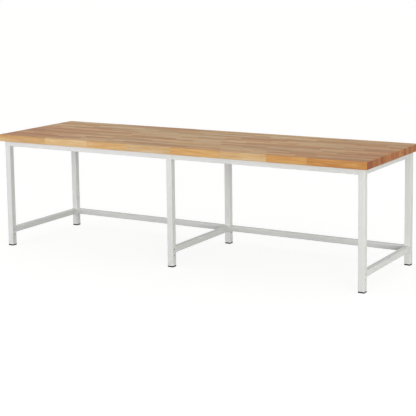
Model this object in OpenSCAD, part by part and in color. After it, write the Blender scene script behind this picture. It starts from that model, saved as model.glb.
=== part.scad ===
// Workbench: a laminated beech worktop on a six-legged frame of square steel tube.
// Three leg frames stand across the bench: front leg, rear leg, cross rail and side stretcher.
// Long rails and rear stretchers slide over square spigots on the leg frames, and one screw
// from below locks each end. Screws up through the rails hold the worktop.
// The origin is on the floor under the middle of the worktop, +X along the bench, +Y to the back.

/* [Worktop] */
// Length of the worktop, along X
top_w = 3000; // [2000:10:3600]
// Depth of the worktop, front to back
top_d = 900; // [600:10:1200]
// Thickness of the worktop
top_t = 50; // [35:1:80]
// Height of the working surface above the floor
top_h = 860; // [600:5:1100]
// Chamfer along the edges of the worktop
top_chamfer = 2; // [0.5:0.5:6]
// How far the worktop reaches past the legs at each end
end_over = 30; // [0:1:150]
// How far the worktop reaches past the front legs
front_over = 35; // [0:1:150]
// How far the worktop reaches past the rear legs
rear_over = 5; // [0:1:150]

/* [Legs] */
// Side of a leg's square tube
leg_s = 45; // [43:1:70]
// Wall of a leg's tube
leg_wall = 2; // [1.5:0.5:4]
// Outer corner radius of a leg's tube
leg_r = 4; // [3:0.5:8]
// Diameter of the bolt holes near the foot of a leg
hole_d = 9; // [5:0.5:14]
// Height of the lower bolt hole above the floor
hole_z = 85; // [60:1:200]
// Distance between the two bolt holes of a leg
hole_pitch = 40; // [20:1:80]

/* [Rails and stretchers] */
// Side of the square tube of the rails and stretchers
rail_s = 40; // [32:1:42]
// Wall of the rails and stretchers
rail_wall = 2; // [1.5:0.5:3]
// Outer corner radius of the rails and stretchers
rail_r = 3; // [2:0.5:6]
// Height of the underside of the stretchers above the floor
stretcher_z = 100; // [50:5:400]

/* [Spigots] */
// Length of a spigot, from the face of its leg
spigot_l = 60; // [45:1:120]
// Wall of a spigot's tube
spigot_wall = 3; // [2:0.5:4]
// Clearance between a spigot and the tube that slides over it, on each side
spigot_gap = 0.4; // [0.2:0.1:1]

/* [Feet] */
// Height of a foot's flange, between the floor and the leg
foot_h = 8; // [4:1:20]
// Length of the plug that stands up inside the leg
plug_l = 30; // [15:1:45]
// Wall of the plug
plug_wall = 2; // [1:0.5:4]
// Clearance between the plug's core and the leg, on each side
plug_gap = 1.2; // [0.8:0.1:2]
// Clearance between the plug's ribs and the leg, on each side
rib_gap = 0.2; // [0.1:0.1:0.5]
// Thickness of one rib of the plug
rib_t = 1.5; // [1:0.5:3]
// Number of ribs round the plug
rib_n = 3; // [2:1:5]

/* [Locking screws] */
// Thread diameter of a locking screw
lock_d = 8; // [5:1:10]
// Distance from the face of the leg to the locking screw
lock_in = 30; // [20:1:34]
// Diameter of the locking screw's head
lock_head_d = 14; // [12:0.5:18]
// Height of the locking screw's head
lock_head_h = 4.4; // [3:0.1:6]
// Width across flats of the locking screw's socket
lock_key = 5; // [3:0.5:6]
// Clearance round a locking screw in the tube walls
lock_gap = 0.5; // [0.2:0.1:1]
// Length of the locking screw past its nut
lock_past = 2; // [1:0.5:4]
// Width across flats of the nut
nut_af = 13; // [12:0.5:17]
// Height of the nut
nut_h = 6.5; // [4:0.5:9]
// Clearance between a screw's thread and what it screws into
thread_gap = 0.05; // [0.02:0.01:0.1]

/* [Worktop screws] */
// Thread diameter of a worktop screw
screw_d = 6; // [4:0.5:8]
// Diameter of the worktop screw's head
screw_head_d = 12; // [9:0.5:14]
// Height of the worktop screw's head
screw_head_h = 4; // [2:0.5:6]
// Width across flats of the worktop screw's socket
screw_key = 4; // [2.5:0.5:5]
// Length of the worktop screw's tapered tip
screw_tip = 6; // [3:0.5:8]
// Wood left above the tip of a worktop screw
screw_cover = 15; // [10:1:20]
// Room round a worktop screw in its rail, for the wood to move
screw_play = 1; // [0.5:0.25:2]
// Diameter of the washer
washer_d = 14; // [13:0.5:18]
// Thickness of the washer
washer_t = 1.6; // [1:0.1:2.5]
// Clearance of the screw in the washer, on each side
washer_gap = 0.2; // [0.1:0.1:0.4]
// Clearance round the washer in the hole that it is fed through
access_gap = 1; // [0.5:0.5:2]
// Number of worktop screws in one long rail
rail_screws = 3; // [2:1:5]
// Number of worktop screws in one cross rail
cross_screws = 2; // [2:1:4]
// Distance from the end of a rail to its first worktop screw
screw_in = 180; // [100:5:220]

/* [Hidden] */
$fn = 48;

// Colours
beech = [0.74, 0.60, 0.46];
light_grey = [0.86, 0.86, 0.85];
black_plastic = [0.10, 0.10, 0.10];
zinc = [0.72, 0.73, 0.75];

// How far a cutter runs past the face that it opens
past = 1;

// Heights of the frame
frame_top = top_h - top_t;
rail_z = frame_top - rail_s;

// Centre lines of the legs
right = top_w / 2 - end_over - leg_s / 2;
middle = 0;
left = -right;
front = -top_d / 2 + front_over + leg_s / 2;
rear = top_d / 2 - rear_over - leg_s / 2;

// A bay is the space between two neighbouring legs of one row
bay_l = right - leg_s;
bay_right = right / 2;
bay_left = -bay_right;

// The cross rails and side stretchers run from the front legs to the rear legs
cross_l = rear - front - leg_s;
cross_y = (front + rear) / 2;

// Inside and fitted sizes
leg_bore = leg_s - 2 * leg_wall;
leg_bore_r = max(leg_r - leg_wall, 0.5);
plug_s = leg_bore - 2 * plug_gap;
spigot_s = rail_s - 2 * rail_wall - 2 * spigot_gap;
spigot_floor = rail_wall + spigot_gap + spigot_wall;
lock_l = spigot_floor + nut_h + lock_past;
access_d = washer_d + 2 * access_gap;
screw_seat = rail_wall + washer_t;
screw_l = screw_seat + top_t - screw_cover;

// Places of n screws along a rail of this length, counted from its middle
function spread(n, length) = [
    for (i = [0 : n - 1]) (length / 2 - screw_in) * (2 * i / (n - 1) - 1)
];

// Every worktop screw: in the long rails, then in the cross rails
screw_places = concat(
    [for (y = [front, rear], x = [bay_left, bay_right], s = spread(rail_screws, bay_l)) [x + s, y]],
    [for (x = [left, middle, right], s = spread(cross_screws, cross_l)) [x, cross_y + s]]
);

// The ends of the sliding tubes: bay centre, end of the bay, centre line and underside
rail_ends = [
    for (y = [front, rear], x = [bay_left, bay_right], e = [-1, 1]) [x, e, y, rail_z]
];
stretcher_ends = [
    for (x = [bay_left, bay_right], e = [-1, 1]) [x, e, rear, stretcher_z]
];

// Outline of a square tube with round corners
module rounded_square(s, r) {
    square([s, s - 2 * r], center = true);
    square([s - 2 * r, s], center = true);
    for (x = [-1, 1], y = [-1, 1])
        translate([x * (s / 2 - r), y * (s / 2 - r)])
            circle(r);
}

// Square tube of this length, standing on the origin
module tube(s, wall, r, length) {
    difference() {
        linear_extrude(length) rounded_square(s, r);
        translate([0, 0, -past])
            linear_extrude(length + 2 * past) rounded_square(s - 2 * wall, max(r - wall, 0.5));
    }
}

// Rail or stretcher along X, with its middle over the origin and its underside at height 0
module bar(length) {
    translate([-length / 2, 0, rail_s / 2])
        rotate([0, 90, 0])
            tube(rail_s, rail_wall, rail_r, length);
}

// Holes for worktop screws: one to feed and turn the screw, one for the screw itself
module screw_holes(places) {
    for (x = places) {
        translate([x, 0, -past])
            cylinder(d = access_d, h = rail_wall + 2 * past);
        translate([x, 0, rail_s - rail_wall - past])
            cylinder(d = screw_d + 2 * screw_play, h = rail_wall + 2 * past);
    }
}

// Holes for the locking screws at both ends of a bar that slides over spigots
module lock_holes(length) {
    for (e = [-1, 1])
        translate([e * (length / 2 - lock_in), 0, -past])
            cylinder(d = lock_d + 2 * lock_gap, h = rail_wall + 2 * past);
}

// Rectangle with cut corners, the outline of the worktop from three sides
module cut_rectangle(w, h, c) {
    polygon([
        [-w / 2 + c, -h / 2], [w / 2 - c, -h / 2], [w / 2, -h / 2 + c], [w / 2, h / 2 - c],
        [w / 2 - c, h / 2], [-w / 2 + c, h / 2], [-w / 2, h / 2 - c], [-w / 2, -h / 2 + c],
    ]);
}

// The board with chamfered edges, centred on the origin
module board() {
    intersection() {
        linear_extrude(top_t, center = true) cut_rectangle(top_w, top_d, top_chamfer);
        rotate([90, 0, 0])
            linear_extrude(top_d, center = true) cut_rectangle(top_w, top_t, top_chamfer);
        rotate([90, 0, 90])
            linear_extrude(top_w, center = true) cut_rectangle(top_d, top_t, top_chamfer);
    }
}

// Worktop with a pilot hole for each screw
module worktop() {
    color(beech)
        difference() {
            translate([0, 0, top_h - top_t / 2]) board();
            for (p = screw_places)
                translate([p[0], p[1], frame_top - past])
                    cylinder(d = screw_d + 2 * thread_gap, h = past + top_t - screw_cover + thread_gap);
        }
}

// Leg with its pair of bolt holes through both side walls
module leg(x, y) {
    color(light_grey)
        translate([x, y, 0])
            difference() {
                translate([0, 0, foot_h]) tube(leg_s, leg_wall, leg_r, frame_top - foot_h);
                for (z = [hole_z, hole_z + hole_pitch])
                    translate([-leg_s / 2 - past, 0, z])
                        rotate([0, 90, 0])
                            cylinder(d = hole_d, h = leg_s + 2 * past);
            }
}

// Foot: a flange under the leg, and a hollow ribbed plug inside it
module foot(x, y) {
    rib_step = plug_l / rib_n;
    color(black_plastic)
        translate([x, y, 0]) {
            linear_extrude(foot_h) rounded_square(leg_s, leg_r);
            difference() {
                union() {
                    translate([0, 0, foot_h / 2])
                        linear_extrude(foot_h / 2 + plug_l) rounded_square(plug_s, leg_bore_r);
                    for (i = [1 : rib_n])
                        translate([0, 0, foot_h + i * rib_step - rib_t])
                            linear_extrude(rib_t) rounded_square(leg_bore - 2 * rib_gap, leg_bore_r);
                }
                translate([0, 0, foot_h])
                    linear_extrude(plug_l + past) rounded_square(plug_s - 2 * plug_wall, leg_bore_r);
            }
        }
}

// Cross rail of a leg frame, between the tops of a front leg and a rear leg
module cross_rail(x) {
    color(light_grey)
        translate([x, cross_y, rail_z])
            rotate([0, 0, 90])
                difference() {
                    bar(cross_l);
                    screw_holes(spread(cross_screws, cross_l));
                }
}

// Side stretcher of a leg frame, low between a front leg and a rear leg
module side_stretcher(x) {
    color(light_grey)
        translate([x, cross_y, stretcher_z])
            rotate([0, 0, 90])
                bar(cross_l);
}

// Long rail of one bay, under the front or the rear of the worktop
module long_rail(x, y) {
    color(light_grey)
        translate([x, y, rail_z])
            difference() {
                bar(bay_l);
                screw_holes(spread(rail_screws, bay_l));
                lock_holes(bay_l);
            }
}

// Low stretcher of one bay, between two rear legs
module rear_stretcher(x) {
    color(light_grey)
        translate([x, rear, stretcher_z])
            difference() {
                bar(bay_l);
                lock_holes(bay_l);
            }
}

// Moves its children to the locking screw at the end of a sliding tube
module at_lock(end) {
    translate([end[0] + end[1] * (bay_l / 2 - lock_in), end[2], end[3]]) children();
}

// Spigots on the faces of the legs
module spigots(ends) {
    color(light_grey)
        for (end = ends)
            difference() {
                translate([end[0] + end[1] * (bay_l / 2 - spigot_l / 2), end[2], end[3] + rail_s / 2])
                    rotate([0, 90, 0])
                        translate([0, 0, -spigot_l / 2])
                            tube(spigot_s, spigot_wall, rail_r, spigot_l);
                at_lock(end)
                    cylinder(d = lock_d + 2 * lock_gap, h = spigot_floor + past);
            }
}

// Button-headed screws that lock the tubes to their spigots
module locking_screws() {
    color(zinc)
        for (end = concat(rail_ends, stretcher_ends))
            at_lock(end)
                difference() {
                    union() {
                        translate([0, 0, -lock_head_h]) cylinder(d = lock_head_d, h = lock_head_h);
                        translate([0, 0, -lock_head_h / 2]) cylinder(d = lock_d, h = lock_head_h / 2 + lock_l);
                    }
                    translate([0, 0, -lock_head_h - past])
                        cylinder(d = lock_key / cos(30), h = past + lock_head_h * 0.6, $fn = 6);
                }
}

// Nuts that stand on the floors of the spigots
module spigot_nuts() {
    color(zinc)
        for (end = concat(rail_ends, stretcher_ends))
            at_lock(end)
                translate([0, 0, spigot_floor])
                    difference() {
                        cylinder(d = nut_af / cos(30), h = nut_h, $fn = 6);
                        translate([0, 0, -past])
                            cylinder(d = lock_d + 2 * thread_gap, h = nut_h + 2 * past);
                    }
}

// Screws up through the tops of the rails into the worktop
module worktop_screws() {
    color(zinc)
        for (p = screw_places)
            translate([p[0], p[1], frame_top - screw_seat])
                difference() {
                    union() {
                        translate([0, 0, -screw_head_h]) cylinder(d = screw_head_d, h = screw_head_h);
                        translate([0, 0, -screw_head_h / 2])
                            cylinder(d = screw_d, h = screw_head_h / 2 + screw_l - screw_tip);
                        translate([0, 0, screw_l - screw_tip])
                            cylinder(d1 = screw_d, d2 = screw_d / 6, h = screw_tip);
                    }
                    translate([0, 0, -screw_head_h - past])
                        cylinder(d = screw_key / cos(30), h = past + screw_head_h * 0.6, $fn = 6);
                }
}

// Washers between the screw heads and the tops of the rails
module worktop_washers() {
    color(zinc)
        for (p = screw_places)
            translate([p[0], p[1], frame_top - screw_seat])
                difference() {
                    cylinder(d = washer_d, h = washer_t);
                    translate([0, 0, -past])
                        cylinder(d = screw_d + 2 * washer_gap, h = washer_t + 2 * past);
                }
}

worktop();
leg(left, front);  // leg_front_left
leg(middle, front);  // leg_front_middle
leg(right, front);  // leg_front_right
leg(left, rear);  // leg_rear_left
leg(middle, rear);  // leg_rear_middle
leg(right, rear);  // leg_rear_right
foot(left, front);  // foot_front_left
foot(middle, front);  // foot_front_middle
foot(right, front);  // foot_front_right
foot(left, rear);  // foot_rear_left
foot(middle, rear);  // foot_rear_middle
foot(right, rear);  // foot_rear_right
cross_rail(left);  // cross_rail_left
cross_rail(middle);  // cross_rail_middle
cross_rail(right);  // cross_rail_right
long_rail(bay_left, front);  // front_rail_left
long_rail(bay_right, front);  // front_rail_right
long_rail(bay_left, rear);  // rear_rail_left
long_rail(bay_right, rear);  // rear_rail_right
side_stretcher(left);  // side_stretcher_left
side_stretcher(middle);  // side_stretcher_middle
side_stretcher(right);  // side_stretcher_right
rear_stretcher(bay_left);  // rear_stretcher_left
rear_stretcher(bay_right);  // rear_stretcher_right
spigots(rail_ends);  // rail_spigots
spigots(stretcher_ends);  // stretcher_spigots
locking_screws();
spigot_nuts();
worktop_screws();
worktop_washers();
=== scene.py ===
"""Visual model of a long workbench: a laminated beech worktop on a frame of square steel tube."""
import logging
import math
from dataclasses import dataclass, field
from enum import Enum

import bmesh
import bpy
from mathutils import Matrix, Vector


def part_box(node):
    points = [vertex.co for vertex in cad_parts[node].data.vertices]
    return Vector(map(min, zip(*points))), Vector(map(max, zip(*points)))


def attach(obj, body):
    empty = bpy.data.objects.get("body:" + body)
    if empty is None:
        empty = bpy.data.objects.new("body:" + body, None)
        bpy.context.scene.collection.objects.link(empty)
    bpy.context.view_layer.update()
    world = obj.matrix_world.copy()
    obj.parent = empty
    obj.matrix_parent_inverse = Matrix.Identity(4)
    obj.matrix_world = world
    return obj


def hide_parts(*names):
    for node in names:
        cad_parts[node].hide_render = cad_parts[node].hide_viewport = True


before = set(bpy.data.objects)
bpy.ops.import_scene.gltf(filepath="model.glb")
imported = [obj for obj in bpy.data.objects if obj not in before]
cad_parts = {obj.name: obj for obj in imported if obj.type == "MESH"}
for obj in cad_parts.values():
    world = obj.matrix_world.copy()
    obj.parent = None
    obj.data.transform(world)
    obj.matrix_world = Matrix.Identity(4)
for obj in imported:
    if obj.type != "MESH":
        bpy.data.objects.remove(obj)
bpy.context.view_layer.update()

BODY = "root"
SLIDING = ("front_rail", "rear_rail", "rear_stretcher")
NEAR = 1e-6

log = logging.getLogger("workbench")

Socket = bpy.types.NodeSocket
Material = bpy.types.Material
Mesh = bmesh.types.BMesh
Face = bmesh.types.BMFace
Edges = list[bmesh.types.BMEdge]
Verts = list[bmesh.types.BMVert]
Color = tuple[float, float, float]
Point = tuple[float, float, float]


class Row(Enum):
    """The two rows of legs."""

    FRONT = "front"
    REAR = "rear"


class Station(Enum):
    """The three leg frames along the bench."""

    LEFT = "left"
    MIDDLE = "middle"
    RIGHT = "right"


class Bay(Enum):
    """The two spaces between neighbouring leg frames."""

    LEFT = "left"
    RIGHT = "right"


class Slot(Enum):
    """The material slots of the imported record."""

    BEECH = "beech"
    FRAME = "frame_coat"
    FOOT = "foot_plastic"
    ZINC = "zinc_plate"


class Sheet:
    """Short calls for drawing one shader node tree."""

    def __init__(self, tree: bpy.types.NodeTree) -> None:
        """Keep the tree that the calls draw in."""
        self.tree = tree

    def feed(self, node: bpy.types.Node, inputs: dict) -> None:
        """Join a node's inputs to sockets, or set their own values.

        Args:
            node: The node.
            inputs: Sockets to join or plain values to set, by input name or index.
        """
        for name, value in inputs.items():
            socket = node.inputs[name]
            if isinstance(value, bpy.types.NodeSocket):
                self.tree.links.new(value, socket)
            else:
                socket.default_value = opaque(value) if socket.type == "RGBA" else value

    def add(self, kind: str, inputs: dict | None = None, **settings: object) -> bpy.types.Node:
        """Add a node.

        Args:
            kind: Type name of the node.
            inputs: Sockets or plain values, by input name or index.
            settings: Properties of the node itself.

        Returns:
            The new node.
        """
        node = self.tree.nodes.new(kind)
        for name, value in settings.items():
            setattr(node, name, value)
        self.feed(node, inputs or {})
        return node

    def effect(self, group: bpy.types.NodeTree, inputs: dict) -> Socket:
        """Place a node group and give its output."""
        return self.add("ShaderNodeGroup", inputs, node_tree=group).outputs[0]

    def math(self, operation: str, first: object, second: object = 0.0) -> Socket:
        """Join one or two values by a math operation."""
        return self.add("ShaderNodeMath", {0: first, 1: second}, operation=operation).outputs[0]

    def distance(self, first: object, second: object) -> Socket:
        """Measure how far one value is from another."""
        return self.math("ABSOLUTE", self.math("SUBTRACT", first, second))

    def hold(self, value: Socket, low: float, high: float) -> Socket:
        """Hold a value between two limits."""
        return self.math("MINIMUM", self.math("MAXIMUM", value, low), high)

    def swing(self, value: Socket, share: object) -> Socket:
        """Turn a value from 0 to 1 into a swing about nought, scaled by a share."""
        return self.math("MULTIPLY", self.math("SUBTRACT", value, 0.5), share)

    def remap(self, value: object, start: float, end: float, low: float = 0.0, high: float = 1.0) -> Socket:
        """Turn the range from start to end softly into low to high, held at its ends."""
        inputs = {0: value, 1: start, 2: end, 3: low, 4: high}
        return self.add("ShaderNodeMapRange", inputs, interpolation_type="SMOOTHSTEP").outputs[0]

    def join(self, x: object, y: object, z: object) -> Socket:
        """Make a vector of three values."""
        return self.add("ShaderNodeCombineXYZ", {"X": x, "Y": y, "Z": z}).outputs["Vector"]

    def split(self, vector: Socket) -> tuple[Socket, Socket, Socket]:
        """Split a vector or colour into its three values."""
        outputs = self.add("ShaderNodeSeparateXYZ", {"Vector": vector}).outputs
        return outputs["X"], outputs["Y"], outputs["Z"]

    def move(self, place: Socket, offset: Socket) -> Socket:
        """Move a place by a vector or colour."""
        return self.add("ShaderNodeVectorMath", {0: place, 1: offset}, operation="ADD").outputs["Vector"]

    def blend(self, factor: object, first: object, second: object, mode: str = "MIX") -> Socket:
        """Blend two colours, by the share of the second."""
        inputs = {0: factor, 6: first, 7: second}
        return self.add("ShaderNodeMix", inputs, data_type="RGBA", blend_type=mode).outputs[2]

    def tint(self, share: object, color: Socket, tint: object) -> Socket:
        """Multiply a colour by a tint, as far as the share says."""
        return self.blend(share, color, tint, "MULTIPLY")

    def noise(self, place: Socket, scale: object, detail: float = 2.0, distortion: float = 0.0) -> Socket:
        """Add soft noise from 0 to 1, with so many features for each metre."""
        inputs = {"Vector": place, "Scale": scale, "Detail": detail, "Distortion": distortion}
        return self.add("ShaderNodeTexNoise", inputs).outputs[0]

    def ramp(self, value: Socket, stops: tuple[tuple[float, Color], ...]) -> Socket:
        """Turn a value into a colour.

        Args:
            value: Value from 0 to 1.
            stops: Places on the ramp and their colours, in order.

        Returns:
            Socket with the colour.
        """
        node = self.add("ShaderNodeValToRGB", {"Fac": value})
        elements = node.color_ramp.elements
        while len(elements) < len(stops):
            elements.new(1.0)
        for element, (place, color) in zip(elements, stops):
            element.position = place
            element.color = opaque(color)
        return node.outputs["Color"]

    def bump(self, height: Socket, strength: object, depth: object) -> Socket:
        """Raise the surface by a height and give its normal."""
        inputs = {"Height": height, "Strength": strength, "Distance": depth}
        return self.add("ShaderNodeBump", inputs).outputs["Normal"]

    def place(self) -> Socket:
        """Add the place on the piece, in metres."""
        return self.add("ShaderNodeTexCoord").outputs["Object"]

    def spot(self) -> tuple[Socket, Socket, Socket]:
        """Add the place on the piece along X, Y and Z."""
        return self.split(self.place())

    def facing(self) -> tuple[Socket, Socket, Socket]:
        """Add the surface's direction along X, Y and Z."""
        return self.split(self.add("ShaderNodeTexCoord").outputs["Normal"])


def opaque(value: object) -> object:
    """Give a colour its fourth value, and leave a number as it is."""
    return (*value, 1.0) if isinstance(value, tuple) else value


def new_group(name: str, inputs: dict[str, object], output: str, kind: str) -> tuple[Sheet, bpy.types.Node]:
    """Start a node group with one output.

    Args:
        name: Name of the group.
        inputs: Default value of each input, a number or a colour.
        output: Name of the output.
        kind: Socket type of the output.

    Returns:
        Sheet of the group, and its input node.
    """
    tree = bpy.data.node_groups.new(name, "ShaderNodeTree")
    for label, value in inputs.items():
        socket_type = "NodeSocketColor" if isinstance(value, tuple) else "NodeSocketFloat"
        socket = tree.interface.new_socket(name=label, in_out="INPUT", socket_type=socket_type)
        socket.default_value = opaque(value)
    tree.interface.new_socket(name=output, in_out="OUTPUT", socket_type=kind)
    return Sheet(tree), tree.nodes.new("NodeGroupInput")


def mottle_group() -> bpy.types.NodeTree:
    """Build the group for uneven tone: broad clouds with finer ones over them.

    Returns:
        Group that puts out a colour.
    """
    inputs = {"Color": (0.5, 0.5, 0.5), "Broad Scale": 4.0, "Fine Scale": 60.0, "Amount": 0.05}
    sheet, source = new_group("Mottle", inputs, "Color", "NodeSocketColor")
    place = sheet.place()
    broad = sheet.noise(place, source.outputs["Broad Scale"], detail=3.0)
    fine = sheet.noise(place, source.outputs["Fine Scale"])
    cloud = sheet.math("SUBTRACT", sheet.math("ADD", broad, fine), 1.0)
    tone = sheet.math("ADD", sheet.math("MULTIPLY", cloud, source.outputs["Amount"]), 1.0)
    scaled = {0: source.outputs["Color"], "Scale": tone}
    color = sheet.add("ShaderNodeVectorMath", scaled, operation="SCALE").outputs["Vector"]
    sheet.add("NodeGroupOutput", {"Color": color})
    return sheet.tree


def pebble_group() -> bpy.types.NodeTree:
    """Build the group for a pebbled skin, such as orange peel in a coat or a moulded texture.

    Returns:
        Group that puts out a normal.
    """
    inputs = {"Scale": 400.0, "Strength": 0.1, "Depth": 0.0002, "Wave Scale": 20.0}
    sheet, source = new_group("Pebble", inputs, "Normal", "NodeSocketVector")
    place = sheet.place()
    pebbles = sheet.noise(place, source.outputs["Scale"], detail=1.0)
    waves = sheet.noise(place, source.outputs["Wave Scale"], detail=1.0)
    height = sheet.math("ADD", pebbles, waves)
    normal = sheet.bump(height, source.outputs["Strength"], source.outputs["Depth"])
    sheet.add("NodeGroupOutput", {"Normal": normal})
    return sheet.tree


def sheen_group() -> bpy.types.NodeTree:
    """Build the group for uneven roughness, as hands, cloths and dust leave it.

    Returns:
        Group that puts out a roughness.
    """
    inputs = {"Roughness": 0.4, "Swing": 0.08, "Scale": 30.0}
    sheet, source = new_group("Sheen", inputs, "Roughness", "NodeSocketFloat")
    cloud = sheet.noise(sheet.place(), source.outputs["Scale"], detail=4.0)
    swing = sheet.swing(cloud, source.outputs["Swing"])
    sheet.add("NodeGroupOutput", {"Roughness": sheet.math("ADD", swing, source.outputs["Roughness"])})
    return sheet.tree


@dataclass(frozen=True)
class Effects:
    """The node groups that more than one finish uses."""

    mottle: bpy.types.NodeTree
    pebble: bpy.types.NodeTree
    sheen: bpy.types.NodeTree

    @classmethod
    def build(cls) -> "Effects":
        """Build every group once."""
        return cls(mottle_group(), pebble_group(), sheen_group())


def blank_sheet(owner: bpy.types.ID) -> Sheet:
    """Empty the node tree of a material or a world.

    Args:
        owner: The material or world.

    Returns:
        Sheet of its tree.
    """
    owner.use_nodes = True
    owner.node_tree.nodes.clear()
    return Sheet(owner.node_tree)


def new_material(name: str) -> tuple[Material, Sheet, bpy.types.Node]:
    """Start a material with a Principled shader.

    Args:
        name: Name of the material.

    Returns:
        The material, its sheet and its shader node.
    """
    material = bpy.data.materials.new(name)
    sheet = blank_sheet(material)
    shader = sheet.add("ShaderNodeBsdfPrincipled")
    sheet.add("ShaderNodeOutputMaterial", {"Surface": shader.outputs["BSDF"]})
    return material, sheet, shader


@dataclass(frozen=True)
class WoodPattern:
    """The patterns of the wood, drawn on one sheet."""

    tone: Socket
    shift: Socket
    rings: Socket
    streaks: Socket
    flecks: Socket
    joint: Socket


@dataclass(frozen=True)
class BeechFinish:
    """Oiled beech, glued up from staves that run along the bench."""

    rows: int = 20
    stave_length: float = 0.38
    stave_unevenness: float = 0.75
    first_stave: float = 8.84
    row_step: float = 47.56
    heart_reach: float = 0.14
    heart_height: float = 0.8
    heart_lean: float = 0.02
    ring_pitch: float = 0.0028
    warp_scale: float = 14.0
    warp_depth: float = 0.02
    grain_squeeze: float = 0.06
    streak_scale: float = 75.0
    streak_bend: float = 0.3
    joint_width: float = 0.0007
    joint_core: float = 0.2
    joint_tint: Color = (0.70, 0.644, 0.595)
    tones: tuple[tuple[float, Color], ...] = (
        (0.00, (0.480, 0.219, 0.067)),
        (0.35, (0.594, 0.343, 0.129)),
        (0.70, (0.675, 0.460, 0.224)),
        (1.00, (0.740, 0.562, 0.344)),
    )
    redder: Color = (1.05, 0.963, 0.815)
    paler: Color = (0.955, 0.983, 1.115)
    tone_share: float = 0.88
    ring_share: float = 0.16
    streak_share: float = 1.30
    # Painted shade on the top: its front half is darkened and warmed, most at the left end.
    painted_shade_share: float = 0.20
    painted_shade_tint: Color = (0.97, 0.82, 0.71)
    painted_shade_middle: float = 0.3
    painted_shade_right: float = 0.4
    painted_shade_inner: float = 1.0 / 3.0
    painted_shade_back: float = 0.8
    top_facing: tuple[float, float] = (0.5, 0.9)
    fleck_squeeze: float = 0.22
    fleck_scale: float = 900.0
    fleck_edge: tuple[float, float] = (0.12, 0.28)
    fleck_share: float = 0.30
    fleck_tint: Color = (0.70, 0.58, 0.50)
    end_facing: tuple[float, float] = (0.55, 0.85)
    end_dark: Color = (0.54, 0.265, 0.12)
    end_light: Color = (0.80, 0.58, 0.41)
    end_ring_share: float = 0.45
    mottle: float = 0.10
    mottle_broad: float = 3.0
    mottle_fine: float = 25.0
    ring_relief: float = 0.3
    relief_strength: float = 0.25
    relief_depth: float = 0.0003
    roughness: float = 0.50
    specular: float = 0.24

    def build(self, effects: Effects, low: Vector, high: Vector) -> Material:
        """Build the material for a board between two corners.

        Args:
            effects: Shared node groups.
            low: Lowest corner of the board.
            high: Highest corner of the board.

        Returns:
            The material.
        """
        material, sheet, shader = new_material("oiled_beech")
        row, row_gap = self.staves_across(sheet, low.y, high.y)
        tone, shift, butt_gap = self.staves_along(sheet, row)
        # Painted shade: darkens and warms the front of the top, standing in for weaker sheen there.
        painted_top_shade = self.painted_top_shade(sheet, low, high)
        tone = sheet.math("SUBTRACT", tone, sheet.math("MULTIPLY", painted_top_shade, self.painted_shade_share))
        rings, streaks = self.grain(sheet, shift)
        joint = self.joints(sheet, row_gap, butt_gap)
        pattern = WoodPattern(tone, shift, rings, streaks, self.flecks(sheet, shift), joint)
        wood = sheet.tint(painted_top_shade, self.color(sheet, pattern), self.painted_shade_tint)
        mottle = {
            "Color": self.end_grain(sheet, wood, pattern),
            "Broad Scale": self.mottle_broad,
            "Fine Scale": self.mottle_fine,
            "Amount": self.mottle,
        }
        sheet.feed(shader, {
            "Base Color": sheet.effect(effects.mottle, mottle),
            "Roughness": sheet.effect(effects.sheen, {"Roughness": self.roughness}),
            "Normal": self.relief(sheet, pattern),
            "Specular IOR Level": self.specular,
        })
        return material

    def staves_across(self, sheet: Sheet, front: float, back: float) -> tuple[Socket, Socket]:
        """Count the rows of staves from the front edge.

        Args:
            sheet: Sheet of the material.
            front: Front edge of the board.
            back: Back edge of the board.

        Returns:
            Number of the row, and the distance to the nearest glue line between rows.
        """
        pitch = (back - front) / self.rows
        last = self.rows - 1.0
        across = sheet.math("DIVIDE", sheet.math("SUBTRACT", sheet.spot()[1], front), pitch)
        row = sheet.hold(sheet.math("FLOOR", across), 0.0, last)
        line = sheet.hold(sheet.math("ROUND", across), 1.0, last)
        return row, sheet.math("MULTIPLY", sheet.distance(across, line), pitch)

    def staves_along(self, sheet: Sheet, row: Socket) -> tuple[Socket, Socket, Socket]:
        """Cut each row into staves of uneven length.

        Args:
            sheet: Sheet of the material.
            row: Number of the row.

        Returns:
            Tone of the stave from 0 to 1, a random shift for its grain, and the distance to
            the nearest butt joint.
        """
        start = sheet.math("ADD", sheet.math("MULTIPLY", row, self.row_step), self.first_stave)
        along = sheet.math("ADD", sheet.math("DIVIDE", sheet.spot()[0], self.stave_length), start)
        inputs = {"W": along, "Scale": 1.0, "Randomness": self.stave_unevenness}
        cells = "ShaderNodeTexVoronoi"
        shift = sheet.add(cells, inputs, voronoi_dimensions="1D").outputs["Color"]
        edge = sheet.add(cells, inputs, voronoi_dimensions="1D", feature="DISTANCE_TO_EDGE")
        gap = sheet.math("MULTIPLY", edge.outputs["Distance"], self.stave_length)
        return sheet.split(shift)[0], shift, gap

    def painted_top_shade(self, sheet: Sheet, low: Vector, high: Vector) -> Socket:
        """Paint shade on the front half of the top, darker and warmer, most at the left end and least between
        the ends.

        Args:
            sheet: Sheet of the material.
            low: Lowest corner of the board.
            high: Highest corner of the board.

        Returns:
            Mask of the painted shade.
        """
        x, y, _ = sheet.spot()
        left = sheet.remap(x, low.x, self.painted_shade_inner * low.x, 1.0, self.painted_shade_middle)
        right = sheet.remap(x, self.painted_shade_inner * high.x, high.x, 0.0, self.painted_shade_right)
        fore = sheet.remap(y, 0.0, self.painted_shade_back * high.y, 1.0, 0.0)
        top = sheet.remap(sheet.facing()[2], *self.top_facing)
        return sheet.math("MULTIPLY", sheet.math("ADD", left, right), sheet.math("MULTIPLY", fore, top))

    def own_place(self, sheet: Sheet, shift: Socket, squeeze: float) -> Socket:
        """Give each stave a place of its own in the wood, squeezed along the board."""
        x, y, z = sheet.spot()
        return sheet.move(sheet.join(sheet.math("MULTIPLY", x, squeeze), y, z), shift)

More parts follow.
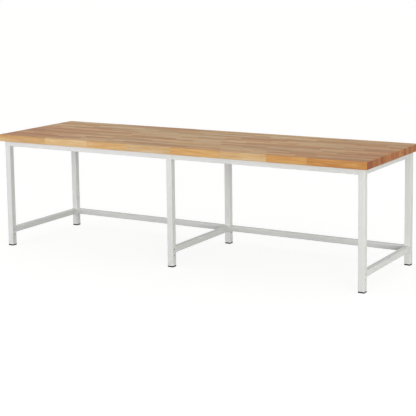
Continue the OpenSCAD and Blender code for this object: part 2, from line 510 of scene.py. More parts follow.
    def grain(self, sheet: Sheet, shift: Socket) -> tuple[Socket, Socket]:
        """Lay growth rings round the heart of each stave's tree, and long streaks of tone.

        Args:
            sheet: Sheet of the material.
            shift: Random shift of the stave.

        Returns:
            Growth rings and streaks, each from 0 to 1.
        """
        x, y, z = sheet.spot()
        across, up, lean = sheet.split(shift)
        heart_y = sheet.swing(across, self.heart_reach)
        heart_z = sheet.math("MULTIPLY", up, self.heart_reach)
        run = sheet.math("MULTIPLY", x, sheet.swing(lean, self.heart_lean))
        side = sheet.math("ADD", sheet.math("ADD", y, heart_y), run)
        rise = sheet.math("ADD", sheet.math("SUBTRACT", z, self.heart_height), heart_z)
        flat = {0: sheet.join(side, rise, 0.0)}
        radius = sheet.add("ShaderNodeVectorMath", flat, operation="LENGTH").outputs["Value"]
        place = self.own_place(sheet, shift, self.grain_squeeze)
        warp = sheet.math("MULTIPLY", sheet.noise(place, self.warp_scale), self.warp_depth)
        turn = sheet.math("MULTIPLY", sheet.math("ADD", radius, warp), 2.0 * math.pi / self.ring_pitch)
        rings = sheet.math("ADD", sheet.math("MULTIPLY", sheet.math("SINE", turn), 0.5), 0.5)
        return rings, sheet.noise(place, self.streak_scale, detail=4.0, distortion=self.streak_bend)

    def flecks(self, sheet: Sheet, shift: Socket) -> Socket:
        """Scatter the short dark ray flecks that mark beech.

        Args:
            sheet: Sheet of the material.
            shift: Random shift of the stave.

        Returns:
            Mask of the flecks.
        """
        place = self.own_place(sheet, shift, self.fleck_squeeze)
        inputs = {"Vector": place, "Scale": self.fleck_scale, "Randomness": 1.0}
        cells = sheet.add("ShaderNodeTexVoronoi", inputs)
        return sheet.remap(cells.outputs["Distance"], *self.fleck_edge, 1.0, 0.0)

    def joints(self, sheet: Sheet, row_gap: Socket, butt_gap: Socket) -> Socket:
        """Draw the glue lines between staves, from the distances to them."""
        gap = sheet.math("MINIMUM", row_gap, butt_gap)
        return sheet.remap(gap, self.joint_core * self.joint_width, self.joint_width, 1.0, 0.0)

    def color(self, sheet: Sheet, pattern: WoodPattern) -> Socket:
        """Colour the wood from its patterns.

        Args:
            sheet: Sheet of the material.
            pattern: Patterns of the wood.

        Returns:
            Socket with the colour.
        """
        shade = sheet.math("MULTIPLY", pattern.tone, self.tone_share)
        shade = sheet.math("ADD", shade, sheet.swing(pattern.rings, self.ring_share))
        shade = sheet.math("ADD", shade, sheet.swing(pattern.streaks, self.streak_share))
        hue = sheet.blend(sheet.split(pattern.shift)[2], self.redder, self.paler)
        wood = sheet.tint(1.0, sheet.ramp(shade, self.tones), hue)
        wood = sheet.tint(sheet.math("MULTIPLY", pattern.flecks, self.fleck_share), wood, self.fleck_tint)
        return sheet.tint(pattern.joint, wood, self.joint_tint)

    def end_grain(self, sheet: Sheet, wood: Socket, pattern: WoodPattern) -> Socket:
        """Darken the sawn ends, each stave by its own amount, with darker rings.

        Args:
            sheet: Sheet of the material.
            wood: Colour of the wood along the grain.
            pattern: Patterns of the wood.

        Returns:
            Socket with the colour.
        """
        end = sheet.remap(sheet.math("ABSOLUTE", sheet.facing()[0]), *self.end_facing)
        swing = sheet.swing(pattern.rings, self.end_ring_share)
        shade = sheet.math("ADD", sheet.split(pattern.shift)[1], swing)
        return sheet.tint(end, wood, sheet.blend(shade, self.end_dark, self.end_light))

    def relief(self, sheet: Sheet, pattern: WoodPattern) -> Socket:
        """Raise the grain a little and sink the glue lines.

        Args:
            sheet: Sheet of the material.
            pattern: Patterns of the wood.

        Returns:
            Socket with the normal.
        """
        rings = sheet.math("MULTIPLY", pattern.rings, self.ring_relief)
        height = sheet.math("SUBTRACT", sheet.math("ADD", rings, pattern.streaks), pattern.joint)
        return sheet.bump(height, self.relief_strength, self.relief_depth)


@dataclass(frozen=True)
class CoatFinish:
    """Powder coat on steel: fine orange peel, a slightly uneven tone, and near black painted shade inside the
    hollow legs and on the bare cut rim above the feet.
    """

    name: str = "grey_powder_coat"
    color: Color = (0.730, 0.737, 0.722)
    mottle: float = 0.035
    mottle_broad: float = 2.5
    mottle_fine: float = 45.0
    peel_scale: float = 420.0
    peel_strength: float = 0.12
    roughness: float = 0.24
    specular: float = 0.45
    # Near black: painted shade inside the hollow legs, and on the bare cut rim above the feet.
    bare_steel_shade: Color = (0.018, 0.017, 0.016)
    hollow_skin: float = 0.0012
    shade_rim: float = 0.0015
    shade_fade: float = 0.00225

    def build(self, effects: Effects) -> Material:
        """Build the material.

        Args:
            effects: Shared node groups.

        Returns:
            The material.
        """
        material, sheet, shader = new_material(self.name)
        mottle = {
            "Color": self.color,
            "Broad Scale": self.mottle_broad,
            "Fine Scale": self.mottle_fine,
            "Amount": self.mottle,
        }
        # Painted shade inside the legs and on the rim above the feet.
        bare_steel_shade = sheet.math("MAXIMUM", self.hollow_shade(sheet), self.cut_rim_shade(sheet))
        peel = {"Scale": self.peel_scale, "Strength": self.peel_strength}
        sheet.feed(shader, {
            "Base Color": sheet.blend(bare_steel_shade, sheet.effect(effects.mottle, mottle), self.bare_steel_shade),
            "Roughness": sheet.effect(effects.sheen, {"Roughness": self.roughness}),
            "Normal": sheet.effect(effects.pebble, peel),
            "Specular IOR Level": self.specular,
        })
        return material

    def hollow_shade(self, sheet: Sheet) -> Socket:
        """Tell the inside of the hollow legs, painted near black as shade, from all outer faces.

        Args:
            sheet: Sheet of the material.

        Returns:
            Mask of the painted shade inside.
        """
        low, high = box("leg_front_right")
        front = (low + high) / 2.0
        reach = (high.x - low.x) / 2.0 - self.hollow_skin
        low, high = box("leg_rear_right")
        rear = (low + high) / 2.0
        x, y, _ = sheet.spot()
        station = sheet.math("MULTIPLY", sheet.math("ROUND", sheet.math("DIVIDE", x, front.x)), front.x)
        off_x = sheet.distance(x, station)
        off_y = sheet.distance(sheet.distance(y, (front.y + rear.y) / 2.0), (rear.y - front.y) / 2.0)
        return sheet.math("LESS_THAN", sheet.math("MAXIMUM", off_x, off_y), reach)

    def cut_rim_shade(self, sheet: Sheet) -> Socket:
        """Tell the narrow rim where the legs were cut to length, just above the feet: bare cut steel, painted
        near black as the shadow line over the foot.
        """
        end = box("leg_front_right")[0].z
        # Painted shadow line: the lowest millimetres of the leg go near black.
        return sheet.remap(sheet.spot()[2], end + self.shade_rim, end + self.shade_fade, 1.0, 0.0)


@dataclass(frozen=True)
class PlasticFinish:
    """Black moulded plastic with a fine grained skin and paler scuffs near the floor."""

    color: Color = (0.005, 0.004, 0.0035)
    mottle: float = 0.25
    scuff: Color = (0.020, 0.019, 0.018)
    scuff_height: float = 0.004
    scuff_scale: float = 260.0
    scuff_edge: tuple[float, float] = (0.50, 0.68)
    scuff_share: float = 0.7
    grain_scale: float = 1400.0
    grain_strength: float = 0.35
    grain_depth: float = 0.0001
    roughness: float = 0.70
    roughness_swing: float = 0.15
    specular: float = 0.15

    def build(self, effects: Effects) -> Material:
        """Build the material.

        Args:
            effects: Shared node groups.

        Returns:
            The material.
        """
        material, sheet, shader = new_material("black_moulded_plastic")
        near_floor = sheet.remap(sheet.spot()[2], 0.0, self.scuff_height, 1.0, 0.0)
        marks = sheet.remap(sheet.noise(sheet.place(), self.scuff_scale, detail=5.0), *self.scuff_edge)
        scuffed = sheet.math("MULTIPLY", marks, sheet.math("MULTIPLY", near_floor, self.scuff_share))
        mottle = {"Color": sheet.blend(scuffed, self.color, self.scuff), "Amount": self.mottle}
        sheen = {"Roughness": self.roughness, "Swing": self.roughness_swing}
        skin = {"Scale": self.grain_scale, "Strength": self.grain_strength, "Depth": self.grain_depth}
        sheet.feed(shader, {
            "Base Color": sheet.effect(effects.mottle, mottle),
            "Roughness": sheet.effect(effects.sheen, sheen),
            "Normal": sheet.effect(effects.pebble, skin),
            "Specular IOR Level": self.specular,
        })
        return material


@dataclass(frozen=True)
class ZincFinish:
    """Bright zinc plate with a faint play of colour and an uneven shine."""

    cool: Color = (0.46, 0.50, 0.56)
    warm: Color = (0.60, 0.57, 0.48)
    play_scale: float = 90.0
    play_edge: tuple[float, float] = (0.35, 0.65)
    mottle: float = 0.15
    mottle_fine: float = 900.0
    roughness: float = 0.30
    roughness_swing: float = 0.2
    roughness_scale: float = 500.0

    def build(self, effects: Effects) -> Material:
        """Build the material.

        Args:
            effects: Shared node groups.

        Returns:
            The material.
        """
        material, sheet, shader = new_material("bright_zinc")
        play = sheet.remap(sheet.noise(sheet.place(), self.play_scale, detail=3.0), *self.play_edge)
        color = sheet.blend(play, self.cool, self.warm)
        mottle = {"Color": color, "Fine Scale": self.mottle_fine, "Amount": self.mottle}
        sheen = {"Roughness": self.roughness, "Swing": self.roughness_swing, "Scale": self.roughness_scale}
        sheet.feed(shader, {
            "Base Color": sheet.effect(effects.mottle, mottle),
            "Roughness": sheet.effect(effects.sheen, sheen),
            "Metallic": 1.0,
        })
        return material


@dataclass(frozen=True)
class Finishes:
    """Every finish of the bench, built once."""

    beech: Material
    coat: Material
    weld: Material
    plastic: Material
    zinc: Material

    @classmethod
    def build(cls, effects: Effects) -> "Finishes":
        """Build the materials.

        Args:
            effects: Shared node groups.

        Returns:
            The finishes.
        """
        weld = CoatFinish(name="coated_weld", mottle=0.06, peel_scale=700.0, peel_strength=0.3)
        return cls(
            BeechFinish().build(effects, *box("worktop")),
            CoatFinish().build(effects),
            weld.build(effects),
            PlasticFinish().build(effects),
            ZincFinish().build(effects),
        )


def box(node: str) -> tuple[Vector, Vector]:
    """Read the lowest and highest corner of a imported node."""
    low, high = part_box(node)
    return Vector(low), Vector(high)


def dress(node: str, material: Material) -> None:
    """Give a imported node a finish.

    Args:
        node: Name of the node.
        material: The finish.
    """
    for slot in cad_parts[node].material_slots:
        slot.material = material
    log.info("dressed %s in %s", node, material.name)


def put(name: str, data: bpy.types.ID) -> bpy.types.Object:
    """Put an object into the scene.

    Args:
        name: Name of the object.
        data: Its mesh, lamp or camera.

    Returns:
        The object.
    """
    made = bpy.data.objects.new(name, data)
    bpy.context.scene.collection.objects.link(made)
    return made


def put_mesh(name: str, mesh: Mesh, material: Material) -> bpy.types.Object:
    """Put a finished shape into the scene.

    Args:
        name: Name of the object.
        mesh: The shape, in its place.
        material: Its finish.

    Returns:
        The object.
    """
    data = bpy.data.meshes.new(name)
    mesh.to_mesh(data)
    mesh.free()
    data.materials.append(material)
    return put(name, data)


def finish_piece(mesh: Mesh, name: str, material: Material, slot: Slot, *replaced: str) -> None:
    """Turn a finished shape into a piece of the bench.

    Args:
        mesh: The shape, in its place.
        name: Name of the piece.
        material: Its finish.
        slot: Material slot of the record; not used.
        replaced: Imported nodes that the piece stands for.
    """
    bmesh.ops.recalc_face_normals(mesh, faces=mesh.faces)
    for face in mesh.faces:
        face.smooth = True
    piece = put_mesh(name, mesh, material)
    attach(piece, BODY)
    if replaced:
        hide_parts(*replaced)
    log.info("built %s with %d faces", name, len(piece.data.polygons))


def block(mesh: Mesh, low: Vector, high: Vector) -> None:
    """Add a sharp block between two corners."""
    place = Matrix.Translation((low + high) / 2.0) @ Matrix.Diagonal((*(high - low), 1.0))
    bmesh.ops.create_cube(mesh, size=1.0, matrix=place)


def round_edges(mesh: Mesh, edges: Edges, radius: float, segments: int) -> None:
    """Round edges to a radius, with so many facets."""
    form = {"offset_type": "OFFSET", "affect": "EDGES", "profile": 0.5, "material": -1}
    bmesh.ops.bevel(mesh, geom=edges, offset=radius, segments=segments, **form)


def extrude_edges(mesh: Mesh, edges: Edges) -> tuple[Edges, Verts]:
    """Extrude a loop of edges, still in the same place.

    Args:
        mesh: Shape to add to.
        edges: The loop.

    Returns:
        Edges and vertices of the new loop.
    """
    made = bmesh.ops.extrude_edge_only(mesh, edges=edges)["geom"]
    verts = [item for item in made if isinstance(item, bmesh.types.BMVert)]
    fresh = set(verts)
    loop = [item for item in made if isinstance(item, bmesh.types.BMEdge) and fresh.issuperset(item.verts)]
    return loop, verts


@dataclass
class Worktop:
    """The beech board, and the screws and washers that hold it from below."""

    arris: float = 0.002
    arris_segments: int = 4
    least_flat: float = 0.00016
    squareness: float = 0.99999

    def build(self, finishes: Finishes) -> None:
        """Build the board with its softened arrises and dress its fasteners.

        Args:
            finishes: The finishes.
        """
        mesh = bmesh.new()
        block(mesh, *box("worktop"))
        round_edges(mesh, mesh.edges[:], self.arris, self.arris_segments)
        self.hold_flats(mesh)
        finish_piece(mesh, "worktop_board", finishes.beech, Slot.BEECH, "worktop")
        dress("worktop_screws", finishes.zinc)
        dress("worktop_washers", finishes.zinc)

    def hold_flats(self, mesh: Mesh) -> None:
        """Add a narrow strip round each flat face, so that it stays flat under smooth shading.

        Args:
            mesh: The board, with its flat faces square to the axes.
        """
        mesh.normal_update()
        flats = [
            face for face in mesh.faces
            if face.calc_area() > self.least_flat and max(abs(part) for part in face.normal) > self.squareness
        ]
        bmesh.ops.inset_individual(mesh, faces=flats, thickness=self.arris, use_even_offset=True)


@dataclass
class WeldSeam:
    """Ripple of a fillet weld that follows the outline of a square tube."""

    bead: float = 0.0023
    ripple_pitch: float = 0.0022
    ripple_height: float = 0.10
    board_gap: float = 0.001
    sides: int = 10
    corner_steps: int = 4

    def sweep(self, mesh: Mesh, centre: Vector, half: float, corner: float, closed: bool) -> None:
        """Sweep the bead round a tube's end, in the plane across Y.

        Args:
            mesh: Shape to add to.
            centre: Middle of the tube's end.
            half: Half the side of the tube.
            corner: Corner radius of the tube.
            closed: Whether the seam goes all round, or leaves out the top under the board.
        """
        axis = Vector((0.0, 1.0, 0.0))
        quarter = Matrix.Rotation(-math.pi / 2.0, 3, axis)
        flat = half - corner
        top = flat if closed else half - self.bead - self.board_gap
        lengths = [top + flat, 2.0 * flat, top + flat] + [2.0 * flat] * closed
        heading = Vector((0.0, 0.0, -1.0))
        point = centre + Vector((-half, 0.0, top))
        ring = first = self.profile(mesh, point)
        for number, length in enumerate(lengths, 1):
            ring, point = self.straight_run(mesh, ring, point, heading, length)
            if closed or number < len(lengths):
                hub = point + heading.cross(axis) * corner
                ring = self.turn(mesh, ring, hub, axis)
                point = hub + quarter @ (point - hub)
                heading = quarter @ heading
        if not closed:
            for end in (first, ring):
                bmesh.ops.contextual_create(mesh, geom=end)

    def profile(self, mesh: Mesh, point: Vector) -> Edges:
        """Add the bead's round section at the start of a seam.

        Args:
            mesh: Shape to add to.
            point: Centre of the section.

        Returns:
            Edges of the section.
        """
        place = Matrix.Translation(point)
        circle = bmesh.ops.create_circle(mesh, segments=self.sides, radius=self.bead, matrix=place)
        return list(dict.fromkeys(edge for vert in circle["verts"] for edge in vert.link_edges))

    def straight_run(
        self, mesh: Mesh, ring: Edges, point: Vector, heading: Vector, length: float
    ) -> tuple[Edges, Vector]:
        """Sweep the bead along one side of the tube, swelling at each ripple.

        Args:
            mesh: Shape to add to.
            ring: Edges of the last section.
            point: Centre of the last section.
            heading: Direction of the run.
            length: Length of the run.

        Returns:
            Edges and centre of the last section.
        """
        steps = 2 * round(length / self.ripple_pitch)
        move = heading * (length / steps)
        size = 1.0
        for index in range(1, steps + 1):
            ring, verts = extrude_edges(mesh, ring)
            bmesh.ops.translate(mesh, verts=verts, vec=move)
            point = point + move
            wanted = 1.0 + self.ripple_height * (index % 2)
            factor = (wanted / size,) * 3
            bmesh.ops.scale(mesh, verts=verts, vec=factor, space=Matrix.Translation(-point))
            size = wanted
        return ring, point

    def turn(self, mesh: Mesh, ring: Edges, hub: Vector, axis: Vector) -> Edges:
        """Sweep the bead round one corner of the tube.

        Args:
            mesh: Shape to add to.
            ring: Edges of the last section.
            hub: Centre of the corner.
            axis: Axis of the tube.

        Returns:
            Edges of the last section.
        """
        step = Matrix.Rotation(-math.pi / 2.0 / self.corner_steps, 3, axis)
        for _ in range(self.corner_steps):
            ring, verts = extrude_edges(mesh, ring)
            bmesh.ops.rotate(mesh, verts=verts, cent=hub, matrix=step)
        return ring


@dataclass
class Foot:
    """Moulded insert under a leg: a flange that shows and a ribbed plug inside the tube."""

    corner: float = 0.004
    corner_segments: int = 6
    bottom_round: float = 0.0014
    top_round: float = 0.0006
    round_segments: int = 3
    plug_wall: float = 0.002
    plug_inset: float = 0.0032
    rib_out: float = 0.0010
    rib_height: float = 0.0015
    ribs: int = 3
    recess_inset: float = 0.006
    recess_depth: float = 0.0012

    def build(self, row: Row, station: Station, plastic: Material) -> None:
        """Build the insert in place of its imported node.

        Args:
            row: Row of the leg.
            station: Leg frame of the leg.
            plastic: The plastic finish.
        """
        name = f"{row.value}_{station.value}"
        low, high = box(f"foot_{name}")
        flange_top = box(f"leg_{name}")[0].z
        mesh = bmesh.new()
        block(mesh, low, Vector((high.x, high.y, flange_top)))
        upright = [edge for edge in mesh.edges if abs(edge.verts[0].co.z - edge.verts[1].co.z) > NEAR]
        round_edges(mesh, upright, self.corner, self.corner_segments)
        self.plug(mesh, flange_top, high.z)
        self.recess(mesh, low.z)
        self.soften(mesh, low, high, flange_top)
        finish_piece(mesh, f"foot_insert_{name}", plastic, Slot.FOOT, f"foot_{name}")

    def cap(self, mesh: Mesh, height: float, up: int) -> Face:
        """Find the flat face at a height.

        Args:
            mesh: The shape.
            height: Height of the face.
            up: Direction of the face along Z, 1 or -1.

        Returns:
            The largest such face.
        """
        mesh.normal_update()
        level = [
            face for face in mesh.faces
            if abs(face.calc_center_median().z - height) < NEAR and round(face.normal.z) == up
        ]
        return max(level, key=lambda face: face.calc_area())

    def inset(self, mesh: Mesh, face: Face, width: float) -> Face:
        """Inset a face, or widen it if the width is below nought, and give it back."""
        bmesh.ops.inset_region(mesh, faces=[face], thickness=width, use_even_offset=True)
        return face

    def rise(self, mesh: Mesh, face: Face, height: float) -> Face:
        """Extrude a flat face along Z.

        Args:
            mesh: The shape.
            face: The face.
            height: How far it moves, negative for down.

        Returns:
            The moved face.
        """
        moved = bmesh.ops.extrude_discrete_faces(mesh, faces=[face])["faces"][0]
        bmesh.ops.translate(mesh, verts=moved.verts[:], vec=(0.0, 0.0, height))
        return moved

    def plug(self, mesh: Mesh, start: float, end: float) -> None:
        """Raise the ribbed plug and hollow it out.

        Args:
            mesh: The shape.
            start: Height of the top of the flange.
            end: Height of the top of the plug.
        """
        pitch = (end - start) / self.ribs
        face = self.inset(mesh, self.cap(mesh, start, 1), self.plug_inset)
        for _ in range(self.ribs):
            face = self.inset(mesh, self.rise(mesh, face, pitch - self.rib_height), -self.rib_out)
            face = self.inset(mesh, self.rise(mesh, face, self.rib_height), self.rib_out)
        self.rise(mesh, self.inset(mesh, face, self.plug_wall), start - end)

    def recess(self, mesh: Mesh, floor: float) -> None:
        """Sink a shallow recess into the underside, at the height of the floor."""
        face = self.inset(mesh, self.cap(mesh, floor, -1), self.recess_inset)
        self.rise(mesh, face, self.recess_depth)

    def soften(self, mesh: Mesh, low: Vector, high: Vector, flange_top: float) -> None:
        """Round the flange's lower and upper edges.

        Args:
            mesh: The shape.
            low: Lowest corner of the foot.
            high: Highest corner of the foot.
            flange_top: Height of the top of the flange.
        """
        centre = (low + high) / 2.0
        outside = (high.x - low.x) / 2.0 - self.corner
        for height, radius in ((low.z, self.bottom_round), (flange_top, self.top_round)):
            rim = []
            for edge in mesh.edges:
                level = all(abs(vert.co.z - height) < NEAR for vert in edge.verts)
                middle = (edge.verts[0].co + edge.verts[1].co) / 2.0 - centre
                outer = max(abs(middle.x), abs(middle.y)) > outside
                if level and outer and len({round(face.normal.z) for face in edge.link_faces}) == 2:
                    rim.append(edge)
            round_edges(mesh, rim, radius, self.round_segments)


@dataclass
class LegFrame:
    """One welded leg frame: two legs, their feet, a cross rail and a side stretcher."""

    station: Station
    seam: WeldSeam = field(default_factory=WeldSeam)
    foot: Foot = field(default_factory=Foot)
    tube_corner: float = 0.003

    def build(self, finishes: Finishes) -> None:
        """Dress the tubes, weld them and put the feet on.

        Args:
            finishes: The finishes.
        """
        for row in Row:
            dress(f"leg_{row.value}_{self.station.value}", finishes.coat)
            self.foot.build(row, self.station, finishes.plastic)
        mesh = bmesh.new()
        for tube, closed in (("cross_rail", False), ("side_stretcher", True)):
            node = f"{tube}_{self.station.value}"
            dress(node, finishes.coat)
            self.weld(mesh, node, closed)
        bmesh.ops.remove_doubles(mesh, verts=mesh.verts, dist=NEAR)
        finish_piece(mesh, f"weld_seams_{self.station.value}", finishes.weld, Slot.FRAME)

    def weld(self, mesh: Mesh, node: str, closed: bool) -> None:
        """Add the seams where a tube meets the two legs.

        Args:
            mesh: Shape to add to.
            node: Name of the tube's node.
            closed: Whether the seams go all round.
        """
        low, high = box(node)
        centre = (low + high) / 2.0
        for y in (low.y, high.y):
            end = Vector((centre.x, y, centre.z))
            self.seam.sweep(mesh, end, (high.x - low.x) / 2.0, self.tube_corner, closed)


@dataclass
class SlidingTubes:
    """The rails and the rear stretcher of one bay, which slide over spigots on the leg frames."""

    bay: Bay

    def build(self, finishes: Finishes) -> None:
        """Dress the tubes."""
        for name in SLIDING:
            dress(f"{name}_{self.bay.value}", finishes.coat)


@dataclass
class Locks:
    """Button-headed screws under the ends of the sliding tubes, their nuts and the spigots."""

    setback: float = 0.030
    head_radius: float = 0.007
    head_height: float = 0.0044
    head_edge: float = 0.25
    crown_radius: float = 0.0042
    edge_break: float = 0.0002
    socket_sides: int = 6
    socket_flats: float = 0.005
    socket_depth: float = 0.0026
    shank_radius: float = 0.004
    shank_length: float = 0.0139
    shank_tip: float = 0.001
    thread_pitch: float = 0.00125
    thread_depth: float = 0.0004
    facets: int = 48
    dome_steps: int = 6

    def build(self, finishes: Finishes) -> None:
        """Build the screws and dress the nuts and spigots.

        Args:
            finishes: The finishes.
        """
        mesh = bmesh.new()
        self.screw(mesh)
        pattern_verts = mesh.verts[:]
        pattern = pattern_verts + mesh.edges[:] + mesh.faces[:]
        for seat in self.seats():
            copy = bmesh.ops.duplicate(mesh, geom=pattern)["geom"]
            verts = [item for item in copy if isinstance(item, bmesh.types.BMVert)]
            bmesh.ops.translate(mesh, verts=verts, vec=seat)
        bmesh.ops.delete(mesh, geom=pattern_verts, context="VERTS")
        finish_piece(mesh, "locking_screw_set", finishes.zinc, Slot.ZINC, "locking_screws")
        dress("spigot_nuts", finishes.zinc)
        dress("rail_spigots", finishes.coat)
        dress("stretcher_spigots", finishes.coat)

    def seats(self) -> list[Vector]:
        """List where the screws' heads meet the tubes.

        Returns:
            One point for each screw, at the ends of every sliding tube.
        """
        places = []
        for bay in Bay:
            for name in SLIDING:
                low, high = box(f"{name}_{bay.value}")
                y = (low.y + high.y) / 2.0
                places += [Vector((x, y, low.z)) for x in (low.x + self.setback, high.x - self.setback)]
        return places

    def screw(self, mesh: Mesh) -> None:
        """Shape one screw, head down, with the flat side of its head at the origin.

        Args:
            mesh: Empty shape to add to.
        """
        across_corners = self.socket_flats / math.cos(math.pi / self.socket_sides)
        circle = {"segments": self.socket_sides, "radius": across_corners / 2.0}
        bmesh.ops.create_circle(mesh, cap_ends=True, **circle)
        bmesh.ops.subdivide_edges(mesh, edges=mesh.edges[:], cuts=self.facets // self.socket_sides - 1)
        bmesh.ops.translate(mesh, verts=mesh.verts[:], vec=(0.0, 0.0, self.socket_depth - self.head_height))
        rim, verts = extrude_edges(mesh, mesh.edges[:])
        bmesh.ops.translate(mesh, verts=verts, vec=(0.0, 0.0, -self.socket_depth))
        for radius, height in self.outline():
            rim = self.ring(mesh, rim, radius, height)
        bmesh.ops.contextual_create(mesh, geom=rim)

    def outline(self) -> list[tuple[float, float]]:
        """List the screw's radius and height from the crown of the head to the tip.

        Returns:
            Radius and height of each ring.
        """
        points = []
        for step in range(self.dome_steps + 1):
            angle = math.pi / 2.0 * step / self.dome_steps
            radius = self.crown_radius + (self.head_radius - self.crown_radius) * math.sin(angle)
            height = self.head_edge + (1.0 - self.head_edge) * math.cos(angle)
            points.append((radius, -self.head_height * height))
        points.append((self.head_radius, -self.edge_break))
        points.append((self.head_radius - self.edge_break, 0.0))
        points.append((self.shank_radius, 0.0))
        turns = int((self.shank_length - 2.0 * self.shank_tip) / self.thread_pitch)
        for turn in range(turns):
            start = self.shank_tip + turn * self.thread_pitch
            points.append((self.shank_radius, start))
            points.append((self.shank_radius - self.thread_depth, start + self.thread_pitch / 2.0))
        points.append((self.shank_radius, self.shank_length - self.shank_tip))
        points.append((self.shank_radius - self.shank_tip, self.shank_length))
        return points

    def ring(self, mesh: Mesh, rim: Edges, radius: float, height: float) -> Edges:
        """Extrude a loop of edges to a circle.

        Args:
            mesh: Shape to add to.
            rim: The loop.
            radius: Radius of the circle.
            height: Height of the circle.

        Returns:
            The new loop.
        """
        rim, verts = extrude_edges(mesh, rim)
        for vert in verts:
            away = Vector((vert.co.x, vert.co.y, 0.0)).normalized() * radius
            vert.co = Vector((away.x, away.y, height))
        return rim


def direction(azimuth: float, elevation: float) -> Vector:
    """Point from the bench towards a lamp or the camera.

    Args:
        azimuth: Degrees from the front towards the right.
        elevation: Degrees above the floor.

    Returns:
        Direction of length one.
    """
    turn = math.radians(azimuth)
    rise = math.radians(elevation)
    return Vector((math.sin(turn) * math.cos(rise), -math.cos(turn) * math.cos(rise), math.sin(rise)))


@dataclass(frozen=True)
class Lamp:
    """One large soft lamp, far from the bench."""

    name: str
    azimuth: float
    elevation: float
    angle: float
    strength: float
    color: Color

    def build(self) -> None:
        """Hang the lamp."""
        lamp = bpy.data.lights.new(self.name, "SUN")
        lamp.energy = self.strength
        lamp.angle = math.radians(self.angle)
        lamp.color = self.color
        toward = direction(self.azimuth, self.elevation)
        put(self.name, lamp).rotation_euler = toward.to_track_quat("Z", "Y").to_euler()


@dataclass(frozen=True)
class Softbox:
    """One rectangular lamp near the bench, upright and turned to its middle."""

    name: str
    place: Point
    width: float
    height: float
    power: float
    color: Color

    def build(self) -> None:
        """Stand the lamp up, out of the camera's sight."""
        lamp = bpy.data.lights.new(self.name, "AREA")
        lamp.shape = "RECTANGLE"
        lamp.size = self.width
        lamp.size_y = self.height
        lamp.energy = self.power
        lamp.color = self.color
        holder = put(self.name, lamp)
        holder.location = self.place
        inward = Vector((-self.place[0], -self.place[1], 0.0))
        holder.rotation_euler = inward.to_track_quat("-Z", "Y").to_euler()
        holder.visible_camera = False


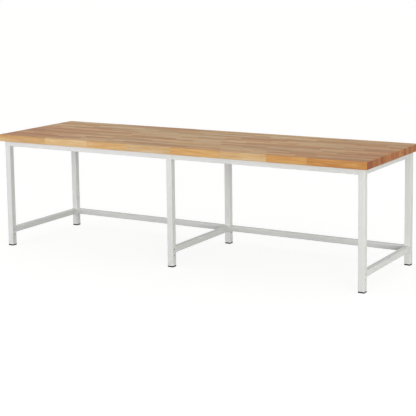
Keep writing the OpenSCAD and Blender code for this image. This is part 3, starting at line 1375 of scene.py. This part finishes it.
@dataclass
class Studio:
    """Plain pale floor, soft light and the camera."""

    floor_half: float = 60.0
    floor_drop: float = 0.0002
    floor_color: Color = (0.12, 0.12, 0.12)
    floor_shade: Color = (0.26, 0.26, 0.26)
    floor_glow: float = 0.85
    sky_color: Color = (1.0, 1.0, 0.965)
    white: Color = (1.0, 1.0, 1.0)
    horizon_level: float = 4.27
    upper_level: float = 0.525
    upper_start: float = 0.08
    key: Lamp = Lamp("key", 40.0, 8.0, 20.0, 1.082, (1.0, 1.0, 0.99))
    right_box: Softbox = Softbox("right_box", (4.5, -3.0, 0.6), 1.5, 1.0, 49.2, (1.0, 1.0, 0.95))
    left_box: Softbox = Softbox("left_box", (-3.0, -5.0, 0.8), 3.0, 1.4, 70.0, (1.0, 1.0, 1.09))
    camera_place: Point = (4.3332, -7.1845, 2.0467)
    camera_azimuth: float = 30.645
    camera_elevation: float = 7.524
    camera_roll: float = -0.732
    camera_reach: float = 500.0
    lens: float = 101.125
    shift_y: float = -0.1923

    def build(self) -> None:
        """Build the floor, the world, the lamps and the camera."""
        self.floor()
        self.world()
        for lamp in (self.key, self.right_box, self.left_box):
            lamp.build()
        self.camera()
        bpy.context.scene.view_settings.view_transform = "Standard"

    def show(self, sheet: Sheet, unseen: bpy.types.Node, seen: bpy.types.Node, output: str) -> None:
        """Show one shader to the eye, and give another to the light that falls on the bench.

        Args:
            sheet: Sheet of the floor's or the world's nodes.
            unseen: Shader for all other light.
            seen: Shader for rays from the camera, from gloss and through glass.
            output: Type name of the output node.
        """
        path = sheet.add("ShaderNodeLightPath").outputs
        direct = sheet.math("MAXIMUM", path["Is Camera Ray"], path["Is Glossy Ray"])
        direct = sheet.math("MAXIMUM", direct, path["Is Transmission Ray"])
        mix = {0: direct, 1: unseen.outputs[0], 2: seen.outputs[0]}
        sheet.add(output, {"Surface": sheet.add("ShaderNodeMixShader", mix).outputs[0]})

    def floor(self) -> None:
        """Build the floor, near white to the eye but still holding the bench's shadow."""
        material = bpy.data.materials.new("pale_floor")
        sheet = blank_sheet(material)
        matt = sheet.add("ShaderNodeBsdfDiffuse", {"Color": self.floor_color})
        shade = sheet.add("ShaderNodeBsdfDiffuse", {"Color": self.floor_shade})
        glow = sheet.add("ShaderNodeEmission", {"Strength": self.floor_glow})
        pale = sheet.add("ShaderNodeAddShader", {0: shade.outputs[0], 1: glow.outputs[0]})
        self.show(sheet, matt, pale, "ShaderNodeOutputMaterial")
        mesh = bmesh.new()
        place = Matrix.Translation((0.0, 0.0, -self.floor_drop))
        bmesh.ops.create_grid(mesh, x_segments=1, y_segments=1, size=self.floor_half, matrix=place)
        floor = put_mesh("floor", mesh, material)

    def world(self) -> None:
        """Build the world: white to the eye, a soft light that is strongest at the horizon to the rest."""
        world = bpy.data.worlds.new("studio")
        sheet = blank_sheet(world)
        up = sheet.split(sheet.add("ShaderNodeTexCoord").outputs["Generated"])[2]
        level = sheet.remap(up, 0.0, self.upper_start, self.horizon_level, self.upper_level)
        soft = sheet.add("ShaderNodeBackground", {"Color": self.sky_color, "Strength": level})
        plain = sheet.add("ShaderNodeBackground", {"Color": self.white, "Strength": 1.0})
        self.show(sheet, soft, plain, "ShaderNodeOutputWorld")
        bpy.context.scene.world = world

    def camera(self) -> None:
        """Build the camera at the photograph's place and angle."""
        back = direction(self.camera_azimuth, self.camera_elevation)
        level = direction(self.camera_azimuth + 90.0, 0.0)
        roll = Matrix.Rotation(math.radians(self.camera_roll), 3, back)
        turned = Matrix((roll @ level, roll @ back.cross(level), back)).transposed().to_4x4()
        lens = bpy.data.cameras.new("camera")
        lens.lens = self.lens
        lens.shift_y = self.shift_y
        lens.clip_end = self.camera_reach
        camera = put("camera", lens)
        camera.matrix_world = Matrix.Translation(self.camera_place) @ turned
        bpy.context.scene.camera = camera


def main() -> None:
    """Build the bench, sub-assembly by sub-assembly, and light it."""
    logging.basicConfig(level=logging.INFO, format="%(name)s: %(message)s")
    finishes = Finishes.build(Effects.build())
    Worktop().build(finishes)
    for station in Station:
        LegFrame(station).build(finishes)
    for bay in Bay:
        SlidingTubes(bay).build(finishes)
    Locks().build(finishes)
    Studio().build()


if __name__ == "__main__":
    main()
